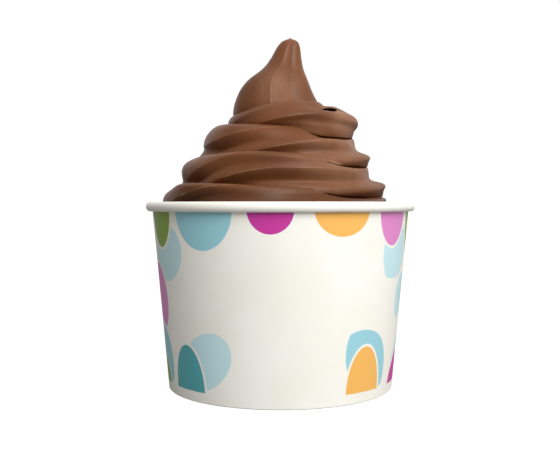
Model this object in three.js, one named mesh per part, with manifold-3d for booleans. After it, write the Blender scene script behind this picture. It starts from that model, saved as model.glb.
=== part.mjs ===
// A paper tub of chocolate frozen yogurt: a rolled-rim cup wall, a recessed base disc and one soft swirl.
// Millimetres, +Z up. The origin is on the cup's axis, on the surface that the cup stands on.
import * as THREE from "three";
import { mergeVertices } from "three/addons/utils/BufferGeometryUtils.js";
import Module from "manifold-3d";

const wasm = await Module();
wasm.setup();

// ---- Driving dimensions: the cup ----
const RIM_RADIUS = 48; // outside of the rolled rim
const CUP_HEIGHT = 66; // top of the rolled rim
const FOOT_RADIUS = 40.1; // outside of the wall at its lower edge
const WALL_SLOPE = 5.6 / 62.7; // how far the wall leans out for each millimetre of height
const PAPER = 0.5; // thickness of the board
const CLEARANCE = 0.3; // gap between pieces that touch
const ROLL_HEIGHT = 3.3; // of the rolled rim
const ROLL_END = -115; // degrees round the roll where the paper's edge stops, short of the wall
const HEM_HEIGHT = 5; // the wall's lower edge, folded up inside the base's skirt
const BASE_HEIGHT = 6.4; // top of the base disc
const SKIRT_FOOT = 1.1; // lower edge of the base's skirt
const CUP_SIDES = 56;

// ---- Driving dimensions: the swirl ----
// Its rope is laid in a coil that climbs clockwise, seen from above. A place on it is given in half turns: an
// even number is on the +X side, an odd one on the -X side, and the coil passes -Y halfway on from an even one.
const FIRST_HALF_TURN = -2; // deep in the cup
const LAST_HALF_TURN = 7.9; // inside the peak
const START_HEIGHT = 59.5; // of the rope's middle at half turn 0
const RISE = 5.27; // for each half turn
const TILT = 0.5; // the coil's +X side is higher by this, and its -X side lower
// The radius of the rope's middle at each half turn, and how far the corners between them are rounded off.
const COIL_RADII = [33, 33, 32, 32.8, 27.1, 26.2, 21.9, 17.4, 17, 14, 8];
const COIL_EASE = 0.3; // half turns
const ROPE_SQUASH = 0.86; // the rope's height as a share of its width
const RIDGES = 6; // of the star nozzle
const GROOVE_DEPTH = 0.3; // share of the rope's radius, on the +X side
const SHALLOWER = 0.14; // by this on the -X side
const GROOVE_RISE = 0.2; // share of the way between ridges by which a groove lies higher on the -X side
const FILLING = 0.8; // how nearly a groove is filled where the rope settled on it
const STEPS = 24; // rope sections for each half turn
const RIDGE_STEPS = 6; // section points for each ridge

const ROPE_RADIUS = 9.8; // out to a ridge
const RADIUS_SWING = 0.7; // thicker by this on the +X side and thinner on the -X side
// The share of that radius by half turn: the rope thins where it is drawn up into the peak.
const THINNING = [
  [6.2, 1],
  [6.42, 0.83],
  [6.55, 0.79],
  [6.8, 0.55],
];
const THINNING_EASE = 0.1; // half turns
// How far the thinned rope has sunk by a half turn.
const SAG = [
  [6.36, 0],
  [6.8, 3],
  [7, 2.8],
  [7.9, 8],
];
const FLARE = 3.4; // the rope's foot spreads outwards by this on the -X side
const FLARE_ANGLE = -32; // degrees: where in its section
const FLARE_SPREAD = 15; // degrees: how far it reaches round the section
const CROWN = 0.16; // share of its radius by which the rope bulges on the -X side
const CROWN_ANGLE = 30; // degrees
const CROWN_SPREAD = 26; // degrees
const SWELL_PLACE = 6.03; // half turns: the top coil swells here, which nearly fills its outer grooves
const SWELL_REACH = 0.2;
const SWELL = 0.1; // of the rope's radius
const POCKET_PLACE = 6.17; // half turns: a pocket is left here on top, where the peak was drawn away
const POCKET_REACH = 0.13;
const POCKET_DEPTH = 0.35; // of the rope's radius

// How far the star section has turned about the rope, in degrees, by half turn. It lags where the rope was
// laid fast and catches up where it folded over.
const SECTION_TURN = [
  [-2, 300],
  [0, 60],
  [0.5, 8],
  [0.66, 9],
  [0.84, -37],
  [2.03, -173],
  [2.3, -203],
  [2.57, -216],
  [2.7, -248],
  [2.9, -306],
  [4.02, -416],
  [4.2, -434],
  [4.5, -469],
  [4.83, -525],
  [4.94, -533],
  [6.21, -682],
  [6.42, -705],
  [6.8, -763],
  [8, -900],
];
const TURN_EASE = 0.05; // half turns

// The peak that the rope is drawn up into: height, half its width, and how far its middle stands along X.
const PEAK = [
  [90, 14, 0],
  [96, 17.2, -0.2],
  [99.5, 16.7, -0.5],
  [102.6, 15.2, -1],
  [106.2, 13.5, -1],
  [109.8, 11.2, -0.4],
  [113.4, 8.1, 1],
  [117, 6.2, 2.1],
  [121, 4.6, 3],
  [123.1, 3.5, 3.4],
  [123.9, 2.2, 3.6],
  [124.3, 0.8, 3.6],
];
const PEAK_TIP = [124.7, 0.3, 3.6];
const PEAK_TURN = -97; // degrees: where one ridge of the peak stands at its foot, seen from above
const PEAK_TWIST = -0.5; // degrees more for each millimetre up
const PEAK_GROOVES = 0.2; // their depth, as a share of half the peak's width

// What the coils lie on: it fills the cup up to its shoulder, and its heart is a cone. Radius and height.
const SHOULDER_HEIGHT = 53;
const HEART_FOOT = [34, 57];
const HEART_TOP = [6, 96];

// ---- Small tools ----
const radians = THREE.MathUtils.degToRad;

// The value between the rows of a table whose first column rises.
function between(rows, at, column = 1) {
  const after = rows.findIndex((row) => row[0] > at);
  if (after < 0) return rows[rows.length - 1][column];
  if (after === 0) return rows[0][column];
  const [low, high] = [rows[after - 1], rows[after]];
  const share = (at - low[0]) / (high[0] - low[0]);
  return THREE.MathUtils.lerp(low[column], high[column], share);
}

// The same, rounded off by averaging over a short stretch on each side.
function eased(rows, at, reach, column = 1) {
  const offsets = [-1, -0.5, 0, 0.5, 1];
  return offsets.reduce((sum, o) => sum + between(rows, at + o * reach, column), 0) / offsets.length;
}

const coilRows = COIL_RADII.map((radius, i) => [FIRST_HALF_TURN + i, radius]);
const coilRadius = (halfTurn) => eased(coilRows, halfTurn, COIL_EASE);
const coilHeight = (halfTurn) =>
  START_HEIGHT + RISE * halfTurn + TILT * Math.cos(Math.PI * halfTurn) - between(SAG, halfTurn);
const wallRadius = (z) => FOOT_RADIUS + WALL_SLOPE * z;
const roomRadius = (z) => wallRadius(z) - PAPER - CLEARANCE; // of what fits inside the wall
const FILL_FOOT = BASE_HEIGHT + CLEARANCE;

// A hump from 0 to 1 and back.
const hump = (distance, reach) => Math.exp(-((distance / reach) ** 2));

// The star section, point by point from one ridge, once it has turned: the angle, and the share of the
// radius at a ridge. The groove's place is a share of the way up to the next ridge.
function starSection(turn, groovePlace, bulge, depthAt) {
  return Array.from({ length: RIDGES * RIDGE_STEPS }, (_, i) => {
    const ridge = Math.floor(i / RIDGE_STEPS);
    const step = (i % RIDGE_STEPS) / RIDGE_STEPS;
    const below = step < 0.5;
    const place = below ? 2 * step * groovePlace : groovePlace + (2 * step - 1) * (1 - groovePlace);
    const angle = turn + (2 * Math.PI * (ridge + place)) / RIDGES;
    return { angle, share: 1 - depthAt(angle) * Math.sin(Math.PI * step) ** (below ? bulge : 1) };
  });
}

// Towards the -X side each groove lies closer under the ridge above it, and the weight of the next coil has
// filled the grooves that face up. On the +X side it is those that face down.
function laidSection(halfTurn) {
  const side = (1 - Math.cos(Math.PI * halfTurn)) / 2;
  const swell = hump(halfTurn - SWELL_PLACE, SWELL_REACH);
  const pocket = POCKET_DEPTH * hump(halfTurn - POCKET_PLACE, POCKET_REACH);
  const depthAt = (angle) => {
    const filledTop = side * THREE.MathUtils.smoothstep(Math.sin(angle), 0.3, 0.9);
    const filledFoot = FILLING * (1 - side) * THREE.MathUtils.smoothstep(-Math.sin(angle), 0, 0.5);
    const filledOut = FILLING * swell * Math.max(Math.cos(angle), 0);
    return (GROOVE_DEPTH - SHALLOWER * side) * (1 - filledTop) * (1 - filledFoot) * (1 - filledOut);
  };
  const turn = radians(eased(SECTION_TURN, halfTurn, TURN_EASE));
  const groovePlace = 0.5 + GROOVE_RISE * side ** 2;
  return starSection(turn, groovePlace, 1 + side ** 2, depthAt).map(({ angle, share }) => {
    const upwards = THREE.MathUtils.radToDeg(Math.asin(Math.sin(angle)));
    const outwards = Math.max(Math.cos(angle), 0);
    const crown = CROWN * side ** 2 * hump(upwards - CROWN_ANGLE, CROWN_SPREAD) * Math.sqrt(outwards);
    const flare = FLARE * side ** 4 * hump(upwards - FLARE_ANGLE, FLARE_SPREAD) * Math.sqrt(outwards);
    const sunken = 1 - pocket * Math.max(Math.sin(angle), 0) ** 4;
    return { angle, share: share * (1 + SWELL * swell * outwards + crown) * sunken, flare };
  });
}

// ---- Solids ----
function solidOf(geometry) {
  const bare = geometry.clone();
  bare.deleteAttribute("normal");
  bare.deleteAttribute("uv");
  const merged = mergeVertices(bare, 1e-4);
  return new wasm.Manifold(
    new wasm.Mesh({
      numProp: 3,
      vertProperties: new Float32Array(merged.attributes.position.array),
      triVerts: new Uint32Array(merged.index.array),
    }),
  );
}

function geometryOf(solid) {
  const mesh = solid.getMesh();
  const geometry = new THREE.BufferGeometry();
  geometry.setAttribute("position", new THREE.BufferAttribute(mesh.vertProperties, mesh.numProp));
  geometry.setIndex(new THREE.BufferAttribute(mesh.triVerts, 1));
  geometry.computeVertexNormals();
  return geometry;
}

// A closed skin over a row of rings with equally many points, each end closed by a fan to its middle.
function skin(rings) {
  const count = rings[0].length;
  const points = rings.flat();
  const faces = [];
  for (let ring = 0; ring + 1 < rings.length; ring++)
    for (let i = 0; i < count; i++) {
      const [a, b] = [ring * count + i, ring * count + ((i + 1) % count)];
      faces.push(a, b, b + count, a, b + count, a + count);
    }
  for (const [ring, first] of [[rings[0], 0], [rings[rings.length - 1], points.length - count]]) {
    const middle = ring.reduce((sum, p) => sum.add(p), new THREE.Vector3()).divideScalar(count);
    const tip = points.push(middle) - 1;
    for (let i = 0; i < count; i++) {
      const edge = [first + i, first + ((i + 1) % count)];
      faces.push(tip, ...(first === 0 ? edge.reverse() : edge));
    }
  }
  const geometry = new THREE.BufferGeometry().setFromPoints(points);
  return geometry.setIndex(faces);
}

// A solid turned about +Z from a closed profile of [radius, height] points.
function turned(profile) {
  const points = profile.map(([radius, z]) => new THREE.Vector2(radius, z));
  return new THREE.LatheGeometry(points, CUP_SIDES).rotateX(Math.PI / 2);
}

// ---- The swirl ----
// One section of the rope, in the upright plane through the swirl's axis at that place.
function ropeSection(halfTurn) {
  const bearing = -Math.PI * halfTurn;
  const thinned = eased(THINNING, halfTurn, THINNING_EASE);
  const ropeRadius = (ROPE_RADIUS + RADIUS_SWING * Math.cos(bearing)) * thinned;
  return laidSection(halfTurn).map(({ angle, share, flare }) => {
    const radius = Math.max(coilRadius(halfTurn) + ropeRadius * share * Math.cos(angle) + flare, 0.4);
    const z = coilHeight(halfTurn) + ROPE_SQUASH * ropeRadius * share * Math.sin(angle);
    return new THREE.Vector3(radius * Math.cos(bearing), radius * Math.sin(bearing), z);
  });
}

// The rope is made in half-turn lengths, because each whole turn of it sinks into the one below.
function ropeLengths() {
  const lengths = [];
  const total = Math.round((LAST_HALF_TURN - FIRST_HALF_TURN) * STEPS);
  for (let first = 0; first < total; first += STEPS) {
    const last = Math.min(first + STEPS, total);
    const rings = [];
    for (let step = first; step <= last; step++) rings.push(ropeSection(FIRST_HALF_TURN + step / STEPS));
    lengths.push(solidOf(skin(rings)));
  }
  return lengths;
}

// The peak's ridges run up it, with even grooves.
function peakSection(z, halfWidth, middle) {
  const turn = radians(PEAK_TURN + PEAK_TWIST * (z - PEAK[1][0]));
  return starSection(turn, 0.5, 1, () => PEAK_GROOVES).map(({ angle, share }) => {
    const reach = halfWidth * share;
    return new THREE.Vector3(middle + reach * Math.cos(angle), reach * Math.sin(angle), z);
  });
}

function peak() {
  return solidOf(skin([...PEAK, PEAK_TIP].map((row) => peakSection(...row))));
}

// What fills the cup below the coils, and the heart of the swirl that the coils wrap.
function heart() {
  const profile = [
    [0, FILL_FOOT],
    [roomRadius(FILL_FOOT) - 1, FILL_FOOT],
    [roomRadius(FILL_FOOT + 1), FILL_FOOT + 1],
    [roomRadius(SHOULDER_HEIGHT - 2), SHOULDER_HEIGHT - 2],
    [roomRadius(SHOULDER_HEIGHT) - 1.5, SHOULDER_HEIGHT],
    HEART_FOOT,
    HEART_TOP,
    [0, HEART_TOP[1]],
  ];
  return solidOf(turned(profile));
}

// Everything inside the cup's wall and above its rim, so that the coils stay clear of the wall.
function room() {
  const [above, wide] = [2 * CUP_HEIGHT, 60];
  const profile = [
    [0, FILL_FOOT],
    [roomRadius(FILL_FOOT), FILL_FOOT],
    [roomRadius(CUP_HEIGHT), CUP_HEIGHT],
    [wide, CUP_HEIGHT + 1],
    [wide, above],
    [0, above],
  ];
  return solidOf(turned(profile));
}

// The outer skin alone, so that no hollow is left between the coils.
function withoutHollows(solid) {
  const skins = solid.decompose();
  return skins.reduce((largest, other) => (other.volume() > largest.volume() ? other : largest));
}

function swirl() {
  const parts = [heart(), peak(), ...ropeLengths()];
  return geometryOf(withoutHollows(wasm.Manifold.union(parts).intersect(room())));
}

// ---- The cup ----
// Points on an arc of an oval, by degrees.
function arc([x, z], [across, up], from, to, steps) {
  return Array.from({ length: steps + 1 }, (_, i) => {
    const angle = radians(THREE.MathUtils.lerp(from, to, i / steps));
    return [x + across * Math.cos(angle), z + up * Math.sin(angle)];
  });
}

// One strip of board: hemmed inwards at the foot, and rolled outwards at the rim.
function cupWall() {
  const rollUp = ROLL_HEIGHT / 2;
  const middleHeight = CUP_HEIGHT - rollUp;
  const rollAcross = (RIM_RADIUS - wallRadius(middleHeight) + PAPER) / 2;
  const middle = [RIM_RADIUS - rollAcross, middleHeight];
  const outerRoll = arc(middle, [rollAcross, rollUp], ROLL_END, 180, 7);
  const innerRoll = arc(middle, [rollAcross - PAPER, rollUp - PAPER], 180, ROLL_END, 5);
  const hemOuter = (z) => wallRadius(z) - 2 * PAPER - 2 * CLEARANCE;
  const fold = 0.25;
  const profile = [
    [hemOuter(0) - PAPER + 2 * fold, 0],
    [wallRadius(0) - fold, 0],
    [wallRadius(fold), fold],
    ...innerRoll,
    ...outerRoll,
    [wallRadius(SKIRT_FOOT) - PAPER, SKIRT_FOOT],
    [wallRadius(PAPER) - PAPER - fold, PAPER],
    [hemOuter(PAPER) + fold, PAPER],
    [hemOuter(SKIRT_FOOT), SKIRT_FOOT],
    [hemOuter(HEM_HEIGHT), HEM_HEIGHT],
    [hemOuter(HEM_HEIGHT) - PAPER, HEM_HEIGHT],
    [hemOuter(fold) - PAPER, fold],
  ];
  return turned([...profile, profile[0]]);
}

// A pressed disc whose skirt is held between the wall and its hem.
function cupBase() {
  const under = BASE_HEIGHT - PAPER;
  const foot = SKIRT_FOOT + CLEARANCE;
  const [innerBend, outerBend] = [0.3, 0.4];
  const profile = [
    [0, under],
    [roomRadius(under) - PAPER - innerBend, under],
    [roomRadius(under - innerBend) - PAPER, under - innerBend],
    [roomRadius(foot) - PAPER, foot],
    [roomRadius(foot), foot],
    [roomRadius(BASE_HEIGHT - outerBend), BASE_HEIGHT - outerBend],
    [roomRadius(BASE_HEIGHT) - outerBend, BASE_HEIGHT],
    [0, BASE_HEIGHT],
  ];
  return turned(profile);
}

// ---- Assembly ----
const paper = new THREE.MeshStandardMaterial({ color: 0xf4f2ec, roughness: 0.45, metalness: 0 });
const plainBoard = new THREE.MeshStandardMaterial({ color: 0xe9e6dd, roughness: 0.7, metalness: 0 });
const chocolate = new THREE.MeshStandardMaterial({ color: 0x7a5240, roughness: 0.5, metalness: 0 });

function named(name, geometry, material) {
  const mesh = new THREE.Mesh(geometry, material);
  mesh.name = name;
  return mesh;
}

const tub = new THREE.Group();
tub.add(named("cup_wall", cupWall(), paper));
tub.add(named("cup_base", cupBase(), plainBoard));
tub.add(named("frozen_yogurt", swirl(), chocolate));

export default tub;
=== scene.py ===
"""A paper tub of chocolate frozen yogurt: the swirl, the printed tub and the studio around them."""

import logging
import math
from collections.abc import Callable, Iterable, Sequence
from dataclasses import dataclass, field, replace
from enum import Enum
from itertools import cycle

import bmesh
import bpy
from mathutils import Matrix, Vector


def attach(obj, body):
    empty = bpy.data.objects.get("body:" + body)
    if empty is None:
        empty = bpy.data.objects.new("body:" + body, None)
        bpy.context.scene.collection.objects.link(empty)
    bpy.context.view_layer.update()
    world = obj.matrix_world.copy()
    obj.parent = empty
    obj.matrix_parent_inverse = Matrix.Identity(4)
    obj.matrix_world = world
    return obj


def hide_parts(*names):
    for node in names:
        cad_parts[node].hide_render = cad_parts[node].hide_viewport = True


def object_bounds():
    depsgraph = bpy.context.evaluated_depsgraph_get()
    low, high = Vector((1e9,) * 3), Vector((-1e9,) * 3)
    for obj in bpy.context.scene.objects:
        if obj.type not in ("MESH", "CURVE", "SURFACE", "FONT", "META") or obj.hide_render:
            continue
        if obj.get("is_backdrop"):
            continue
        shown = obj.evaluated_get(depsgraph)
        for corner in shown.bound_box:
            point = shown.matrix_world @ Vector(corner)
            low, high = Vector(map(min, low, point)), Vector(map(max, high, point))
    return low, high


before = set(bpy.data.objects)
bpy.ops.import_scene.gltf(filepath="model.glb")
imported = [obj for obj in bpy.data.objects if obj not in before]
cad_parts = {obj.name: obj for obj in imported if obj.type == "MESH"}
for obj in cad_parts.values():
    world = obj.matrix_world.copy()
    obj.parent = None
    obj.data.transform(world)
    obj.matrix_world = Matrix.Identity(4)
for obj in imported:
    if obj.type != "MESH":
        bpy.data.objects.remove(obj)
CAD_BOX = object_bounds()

LOG = logging.getLogger("tub")
MM = 0.001
TURN = 2.0 * math.pi
IMAGE_WIDTH = 560
SENSOR_WIDTH = 36.0

Colour = tuple[float, float, float, float]
Point = tuple[float, float, float]
Row = tuple[float, ...]

RIDGES = 6  # of the yogurt rope


# ---------------------------------------------------------------- small tools


def linear(red: int, green: int, blue: int) -> Colour:
    """Turns a screen colour of 0 to 255 into the linear colour that a shader takes.

    Args:
        red: The red part.
        green: The green part.
        blue: The blue part.

    Returns:
        Red, green, blue and an alpha of 1.
    """
    parts = [part / 255.0 for part in (red, green, blue)]
    return (*(p / 12.92 if p <= 0.04045 else ((p + 0.055) / 1.055) ** 2.4 for p in parts), 1.0)


def smoothstep(value: float, low: float, high: float) -> float:
    """Rises smoothly from 0 at low to 1 at high.

    Args:
        value: Where to read the curve.
        low: Where it leaves 0.
        high: Where it reaches 1.

    Returns:
        The height of the curve, from 0 to 1.
    """
    share = min(max((value - low) / (high - low), 0.0), 1.0)
    return share * share * (3.0 - 2.0 * share)


def hump(distance: float, reach: float) -> float:
    """A bell from 0 up to 1 and back, whose half width is about reach."""
    return math.exp(-((distance / reach) ** 2))


def between(rows: Sequence[Row], place: float, column: int = 1) -> float:
    """Reads a table whose first column rises, straight from row to row.

    Args:
        rows: The table.
        place: Where to read it.
        column: Which column to read.

    Returns:
        The value there; outside the table, its first or last value.
    """
    if place <= rows[0][0]:
        return rows[0][column]
    for low, high in zip(rows, rows[1:]):
        if place < high[0]:
            share = (place - low[0]) / (high[0] - low[0])
            return low[column] + share * (high[column] - low[column])
    return rows[-1][column]


def eased(rows: Sequence[Row], place: float, reach: float, column: int = 1) -> float:
    """Reads a table with its corners rounded off.

    Args:
        rows: The table.
        place: Where to read it.
        reach: How far to each side the value is averaged.
        column: Which column to read.

    Returns:
        The mean value about that place.
    """
    offsets = [step / 4.0 for step in range(-4, 5)]
    return sum(between(rows, place + o * reach, column) for o in offsets) / len(offsets)


# ---------------------------------------------------------------- mesh tools


def arc(middle: Row, size: Row, start: float, end: float, steps: int) -> list[Row]:
    """Points on an arc of an oval.

    Args:
        middle: Its middle, as radius and height.
        size: Its half width and half height.
        start: Where it starts, in degrees.
        end: Where it ends.
        steps: How many stretches it has.

    Returns:
        The points.
    """
    angles = [math.radians(start + (end - start) * i / steps) for i in range(steps + 1)]
    return [(middle[0] + size[0] * math.cos(a), middle[1] + size[1] * math.sin(a)) for a in angles]


@dataclass
class Ring:
    """One closed section of a sweep.

    Args:
        points: The points of the section, in millimetres.
        along: How far along the sweep it lies, in millimetres.
    """

    points: list[Vector]
    along: float


def as_object(name: str, bm: bmesh.types.BMesh) -> bpy.types.Object:
    """Makes an object of a finished bmesh and frees the bmesh.

    Args:
        name: The object's name.
        bm: The mesh, in metres.

    Returns:
        The new object, at the origin.
    """
    mesh = bpy.data.meshes.new(name)
    bm.to_mesh(mesh)
    bm.free()
    piece = bpy.data.objects.new(name, mesh)
    bpy.context.scene.collection.objects.link(piece)
    return piece


def sweep(name: str, rings: Sequence[Ring], round_share: Sequence[float]) -> bpy.types.Object:
    """Skins a row of rings into one closed solid, with a UV map called flow.

    The map runs along the sweep in metres (U) and once round the section (V).

    Args:
        name: The solid's name.
        rings: The sections, from one end to the other, with equally many points.
        round_share: How far round the section each point lies, in turns.

    Returns:
        The solid.
    """
    bm = bmesh.new()
    place = bm.verts.layers.int.new("place")
    flow = bm.loops.layers.uv.new("flow")
    count = len(round_share)
    bmesh.ops.create_circle(bm, segments=count, radius=1.0)
    for i, vert in enumerate(bm.verts):
        vert[place] = i
        vert.co = rings[0].points[i] * MM
    first = edge = bm.edges[:]
    for before, ring in zip(rings, rings[1:]):
        made = bmesh.ops.extrude_edge_only(bm, edges=edge)["geom"]
        verts = {item for item in made if isinstance(item, bmesh.types.BMVert)}
        for vert in verts:
            vert.co = ring.points[vert[place]] * MM
        edge = [
            item
            for item in made
            if isinstance(item, bmesh.types.BMEdge) and all(v in verts for v in item.verts)
        ]
        for face in (item for item in made if isinstance(item, bmesh.types.BMFace)):
            wraps = any(loop.vert[place] == count - 1 for loop in face.loops)
            for loop in face.loops:
                i = loop.vert[place]
                along = ring.along if loop.vert in verts else before.along
                loop[flow].uv = (along * MM, round_share[i] + (1.0 if wraps and i == 0 else 0.0))
    for rim in (first, edge):
        cap = bmesh.ops.edgeloop_fill(bm, edges=rim)["faces"]
        bmesh.ops.poke(bm, faces=cap)
    bmesh.ops.recalc_face_normals(bm, faces=bm.faces)
    return as_object(name, bm)


def turned(name: str, profile: Sequence[tuple[float, float]], steps: int) -> bpy.types.Object:
    """Spins a closed profile about +Z into a solid.

    Args:
        name: The solid's name.
        profile: Points of radius and height, in millimetres. It closes on itself or ends on the axis.
        steps: How many faces it has round the axis.

    Returns:
        The solid.
    """
    bm = bmesh.new()
    chain = [bm.verts.new((radius * MM, 0.0, z * MM)) for radius, z in profile]
    edges = [bm.edges.new(pair) for pair in zip(chain, chain[1:])]
    if profile[0][0] > 0.0:
        edges.append(bm.edges.new((chain[-1], chain[0])))
    upright, middle = (0.0, 0.0, 1.0), (0.0, 0.0, 0.0)
    bmesh.ops.spin(
        bm, geom=chain + edges, axis=upright, cent=middle, angle=TURN, steps=steps, use_merge=True
    )
    bmesh.ops.remove_doubles(bm, verts=bm.verts, dist=0.001 * MM)
    bmesh.ops.recalc_face_normals(bm, faces=bm.faces)
    return as_object(name, bm)


class Joining(Enum):
    """What a Boolean does with the solids that it is given."""

    ADD = "UNION"
    CUT = "DIFFERENCE"


def combine(body: bpy.types.Object, others: Sequence[bpy.types.Object], way: Joining) -> None:
    """Adds solids to a body, or cuts them out of it, and removes them.

    Args:
        body: The solid that is changed.
        others: The solids to add or to cut out.
        way: Which of the two.
    """
    gathered = bpy.data.collections.new("gathered")
    bpy.context.scene.collection.children.link(gathered)
    for other in others:
        gathered.objects.link(other)
    join = body.modifiers.new("join", "BOOLEAN")
    join.operation = way.value
    join.operand_type = "COLLECTION"
    join.collection = gathered
    join.solver = "MANIFOLD"
    graph = bpy.context.evaluated_depsgraph_get()
    whole = bpy.data.meshes.new_from_object(body.evaluated_get(graph))
    body.modifiers.clear()
    body.data = whole
    for other in others:
        bpy.data.objects.remove(other)
    bpy.data.collections.remove(gathered)


def keep_outer_skin(bm: bmesh.types.BMesh) -> None:
    """Deletes every shell but the one that holds the topmost vertex, such as hollows sealed by a union.

    Args:
        bm: The mesh.
    """
    start = max(bm.verts, key=lambda vert: vert.co.z)
    reached, todo = {start}, [start]
    while todo:
        vert = todo.pop()
        for other in (edge.other_vert(vert) for edge in vert.link_edges):
            if other not in reached:
                reached.add(other)
                todo.append(other)
    hidden = [vert for vert in bm.verts if vert not in reached]
    bmesh.ops.delete(bm, geom=hidden, context="VERTS")


def shade(piece: bpy.types.Object, crease: float) -> None:
    """Shades a piece smooth, with sharp edges where its faces meet at more than crease degrees."""
    piece.data.shade_smooth()
    piece.data.set_sharp_from_angle(angle=math.radians(crease))


# ---------------------------------------------------------------- node tools


class Graph:
    """A node tree under construction."""

    def __init__(self, tree: bpy.types.NodeTree) -> None:
        """Starts on a tree."""
        self.tree = tree

    def put(self, kind: str, inputs: dict | None = None, **settings: object) -> bpy.types.Node:
        """Adds a node.

        Args:
            kind: Its type, without the ShaderNode at the front.
            inputs: By name or number, a socket to link from or a value to set.
            **settings: Its properties.

        Returns:
            The node.
        """
        node = self.tree.nodes.new("ShaderNode" + kind)
        for name, value in settings.items():
            setattr(node, name, value)
        for key, value in (inputs or {}).items():
            if isinstance(value, bpy.types.NodeSocket):
                self.tree.links.new(value, node.inputs[key])
            else:
                node.inputs[key].default_value = value
        return node

    def math(self, operation: str, *values: object) -> bpy.types.NodeSocket:
        """Adds a Math node and gives its result.

        Args:
            operation: What it works out.
            *values: Sockets or numbers, in order.

        Returns:
            The output socket.
        """
        return self.put("Math", dict(enumerate(values)), operation=operation).outputs[0]

    def ramp(self, value: object, low: float, high: float, start: float = 0.0, end: float = 1.0) -> object:
        """Adds a smooth step from start, at low, to end, at high.

        Args:
            value: The socket that it reads.
            low: Where the step begins.
            high: Where it ends.
            start: The result before it.
            end: The result after it.

        Returns:
            The output socket.
        """
        inputs = {"Value": value, "From Min": low, "From Max": high, "To Min": start, "To Max": end}
        return self.put("MapRange", inputs, interpolation_type="SMOOTHSTEP").outputs["Result"]

    def mix(self, share: object, first: object, second: object, blend: str = "MIX") -> bpy.types.NodeSocket:
        """Adds a colour mix.

        Args:
            share: How much of the second, from 0 to 1.
            first: The colour underneath.
            second: The colour on top.
            blend: How the two blend.

        Returns:
            The output socket.
        """
        node = self.put("Mix", data_type="RGBA", blend_type=blend)
        for key, value in (("Factor_Float", share), ("A_Color", first), ("B_Color", second)):
            socket = next(item for item in node.inputs if item.identifier == key)
            if isinstance(value, bpy.types.NodeSocket):
                self.tree.links.new(value, socket)
            else:
                socket.default_value = value
        return next(item for item in node.outputs if item.identifier == "Result_Color")

    def noise(self, vector: object, scale: object, detail: float = 2.0) -> bpy.types.NodeSocket:
        """Adds a noise that is finer the higher its scale, and gives its value of about 0.3 to 0.7."""
        return self.put("TexNoise", {"Vector": vector, "Scale": scale, "Detail": detail}).outputs["Fac"]

    def use(self, group: bpy.types.NodeTree, **inputs: object) -> bpy.types.Node:
        """Places a node group.

        Args:
            group: The group.
            **inputs: Sockets or values by name, with _ for a space.

        Returns:
            The group's node.
        """
        node = self.put("Group", node_tree=group)
        for name, value in inputs.items():
            socket = node.inputs[name.replace("_", " ")]
            if isinstance(value, bpy.types.NodeSocket):
                self.tree.links.new(value, socket)
            else:
                socket.default_value = value
        return node


class Kind(Enum):
    """The kinds of socket that a node group has."""

    VALUE = "NodeSocketFloat"
    COLOUR = "NodeSocketColor"
    VECTOR = "NodeSocketVector"


def new_group(
    name: str, inputs: dict[str, Kind], outputs: dict[str, Kind]
) -> tuple[Graph, bpy.types.Node, bpy.types.Node]:
    """Starts a shader node group.

    Args:
        name: The group's name.
        inputs: Its inputs.
        outputs: Its outputs.

    Returns:
        The graph to build it with, its input node and its output node.
    """
    tree = bpy.data.node_groups.new(name, "ShaderNodeTree")
    for title, kind in inputs.items():
        tree.interface.new_socket(title, in_out="INPUT", socket_type=kind.value)
    for title, kind in outputs.items():
        tree.interface.new_socket(title, in_out="OUTPUT", socket_type=kind.value)
    return Graph(tree), tree.nodes.new("NodeGroupInput"), tree.nodes.new("NodeGroupOutput")


def mottle_group() -> bpy.types.NodeTree:
    """Builds the group that varies a colour and a roughness over the surface.

    Returns:
        A group that takes Vector, Scale, Colour, Other Colour, Amount and Roughness, and gives Colour and
        Roughness.
    """
    kinds = {"Vector": Kind.VECTOR, "Scale": Kind.VALUE, "Colour": Kind.COLOUR, "Other Colour": Kind.COLOUR}
    kinds |= {"Amount": Kind.VALUE, "Roughness": Kind.VALUE}
    graph, given, result = new_group("mottle", kinds, {"Colour": Kind.COLOUR, "Roughness": Kind.VALUE})
    swing = 0.16  # how much the roughness varies in all
    get = given.outputs
    patch = graph.ramp(graph.noise(get["Vector"], get["Scale"], 3.0), 0.35, 0.65)
    share = graph.math("MULTIPLY", patch, get["Amount"])
    colour = graph.mix(share, get["Colour"], get["Other Colour"])
    rougher = graph.math("MULTIPLY_ADD", patch, swing, -0.5 * swing)
    rough = graph.math("ADD", get["Roughness"], rougher)
    graph.tree.links.new(colour, result.inputs["Colour"])
    graph.tree.links.new(rough, result.inputs["Roughness"])
    return graph.tree


def new_material(name: str) -> tuple[bpy.types.Material, Graph, bpy.types.Node]:
    """Starts a material.

    Args:
        name: Its name.

    Returns:
        The material, the graph to build it with and its Principled shader.
    """
    material = bpy.data.materials.new(name)
    material.use_nodes = True
    return material, Graph(material.node_tree), material.node_tree.nodes["Principled BSDF"]


# ---------------------------------------------------------------- finishes


@dataclass(frozen=True)
class PaintedSheenPatch:
    """A patch of painted sheen: a paler colour laid where the yogurt catches the light.

    Args:
        middle: Its middle, in millimetres.
        reach: How far it spreads, in millimetres.
        amount: How much of it covers the brown, from 0 to 1.
    """

    middle: Point
    reach: float
    amount: float


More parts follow.
